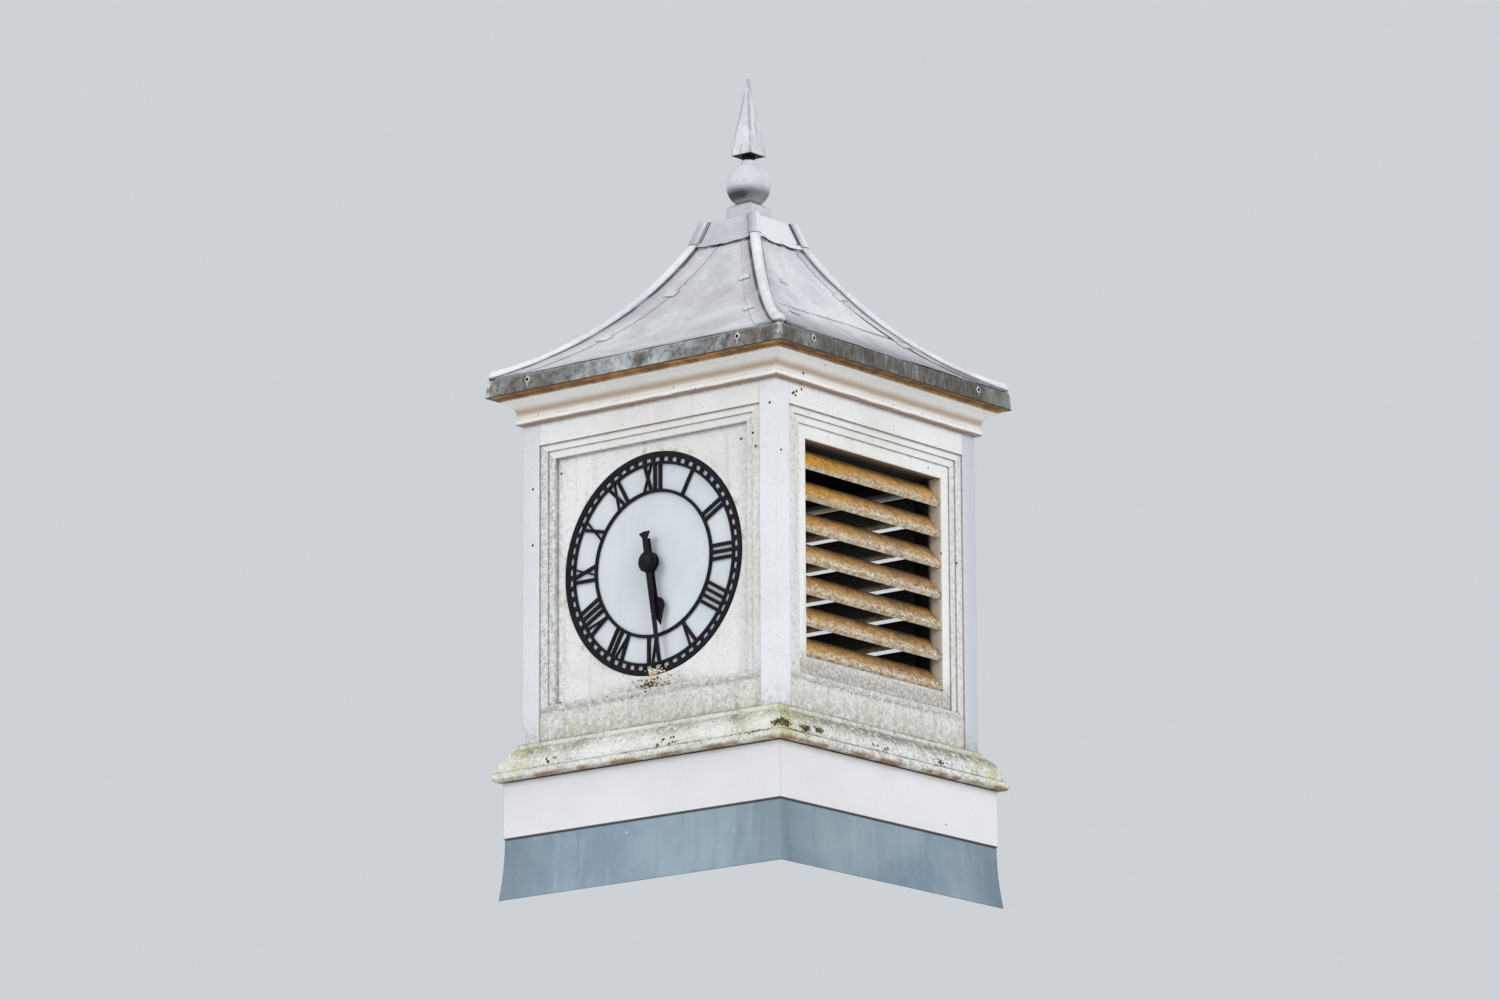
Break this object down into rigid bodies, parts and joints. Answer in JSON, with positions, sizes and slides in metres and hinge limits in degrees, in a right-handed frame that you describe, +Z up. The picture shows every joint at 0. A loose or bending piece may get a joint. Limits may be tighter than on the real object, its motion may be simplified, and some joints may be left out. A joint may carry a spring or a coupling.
{
  "type": "roof clock turret",
  "caption": "Square boarded roof turret with a Roman dial, louvred sides and a swept lead roof under a ball and spike.",
  "frame": {"origin": "middle of the base, at the lowest edge of the upstand", "axes": "+Z up; the clock face looks along -Y and the louvred face in the picture along +X"},
  "size_m": [1.011, 1.011, 2.2858],
  "materials": {
    "white_paint": "aged white paint on boards",
    "weathered_paint": "white paint with lichen and algae",
    "lichen_paint": "white paint under ochre lichen",
    "zinc": "weathered blue-grey zinc sheet",
    "lead": "weathered pale lead sheet",
    "dark_lead": "stained dark lead sheet",
    "black_iron": "black paint on cast iron",
    "black_metal": "black paint on sheet metal",
    "opal_glass": "opal glass, not clear"
  },
  "bodies": {
    "turret": {"front_upstand": "zinc", "right_upstand": "zinc", "back_upstand": "zinc", "left_upstand": "zinc", "front_fascia": "white_paint", "right_fascia": "white_paint", "back_fascia": "white_paint", "left_fascia": "white_paint", "front_base_moulding": "weathered_paint", "right_base_moulding": "weathered_paint", "back_base_moulding": "weathered_paint", "left_base_moulding": "weathered_paint", "corner_posts": "white_paint", "bottom_rails": "weathered_paint", "top_rails": "white_paint", "panel_mouldings": "white_paint", "clock_board": "white_paint", "dial_glass": "opal_glass", "dial_ring": "black_iron", "right_louvre_frame": "white_paint", "back_louvre_frame": "white_paint", "left_louvre_frame": "white_paint", "right_louvre_blades": "lichen_paint", "back_louvre_blades": "lichen_paint", "left_louvre_blades": "lichen_paint", "front_cornice": "white_paint", "right_cornice": "white_paint", "back_cornice": "white_paint", "left_cornice": "white_paint", "front_eave": "dark_lead", "right_eave": "dark_lead", "back_eave": "dark_lead", "left_eave": "dark_lead", "front_roof_slope": "lead", "right_roof_slope": "lead", "back_roof_slope": "lead", "left_roof_slope": "lead", "hip_rolls": "lead", "roof_cap": "lead", "finial_collar": "lead", "finial_ball": "lead", "finial_neck": "black_iron", "finial_spike": "lead"},
    "hour_hand": {"hour_hand": "black_metal"},
    "minute_hand": {"minute_hand": "black_metal"}
  },
  "joints": [
    {"name": "minute_turn", "type": "hinge", "parent": "turret", "child": "minute_hand", "pos_m": [0, -0.44, 0.8585], "axis": [0, 1, 0], "continuous": true},
    {"name": "hour_turn", "type": "hinge", "parent": "turret", "child": "hour_hand", "pos_m": [0, -0.43, 0.8585], "axis": [0, 1, 0], "continuous": true}
  ],
  "couplings": [
    {"joint": "hour_turn", "follows": "minute_turn", "ratio": 0.083333}
  ]
}
